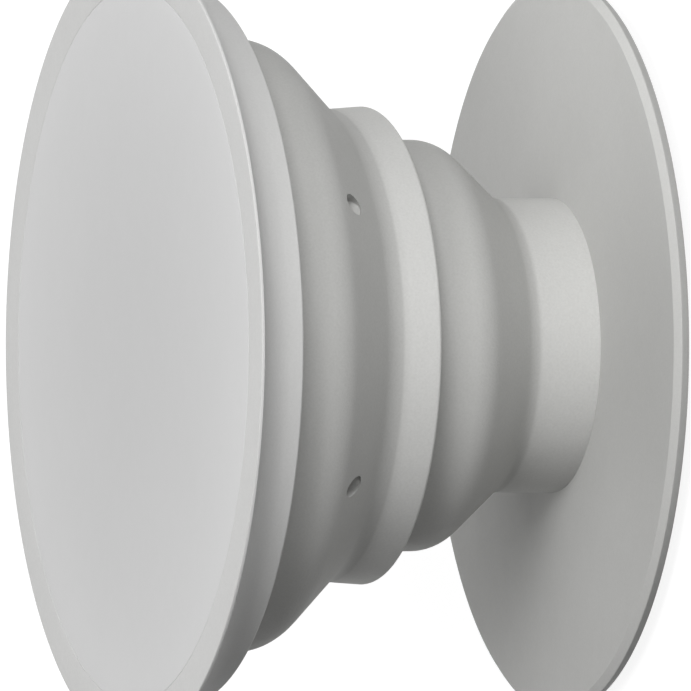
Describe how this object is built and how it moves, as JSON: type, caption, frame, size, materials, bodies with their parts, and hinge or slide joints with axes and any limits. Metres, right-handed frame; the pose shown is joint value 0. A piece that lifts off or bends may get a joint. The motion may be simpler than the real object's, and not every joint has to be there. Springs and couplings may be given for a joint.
{
  "type": "collapsible phone grip",
  "caption": "Round phone grip with a flat button on a soft two-tier bellows that folds flat onto a thin adhesive-backed base plate and swivels on it.",
  "frame": {"origin": "centre of the adhesive pad's underside, on the phone's back", "axes": "+Z along the axis from the base plate to the button; +X passes through one of the vent holes"},
  "size_m": [0.0398, 0.0398, 0.0236],
  "materials": {
    "adhesive_gel": "soft translucent gel, tacky",
    "base_plastic": "fine moulded texture, satin",
    "bellows_elastomer": "soft-touch moulded thermoplastic elastomer, matte",
    "button_plastic": "fine moulded texture, satin",
    "face_plastic": "smooth satin"
  },
  "bodies": {
    "base": {"base_plate": "base_plastic", "adhesive_pad": "adhesive_gel"},
    "bellows": {"accordion": "bellows_elastomer"},
    "button": {"button": "button_plastic", "face_disc": "face_plastic"}
  },
  "joints": [
    {"name": "swivel", "type": "hinge", "parent": "base", "child": "bellows", "pos_m": [0, 0, 0], "axis": [0, 0, 1], "continuous": true},
    {"name": "collapse", "type": "slide", "parent": "bellows", "child": "button", "axis": [0, 0, -1], "range_m": [0, 0.0168], "deforming": ["accordion"]}
  ]
}
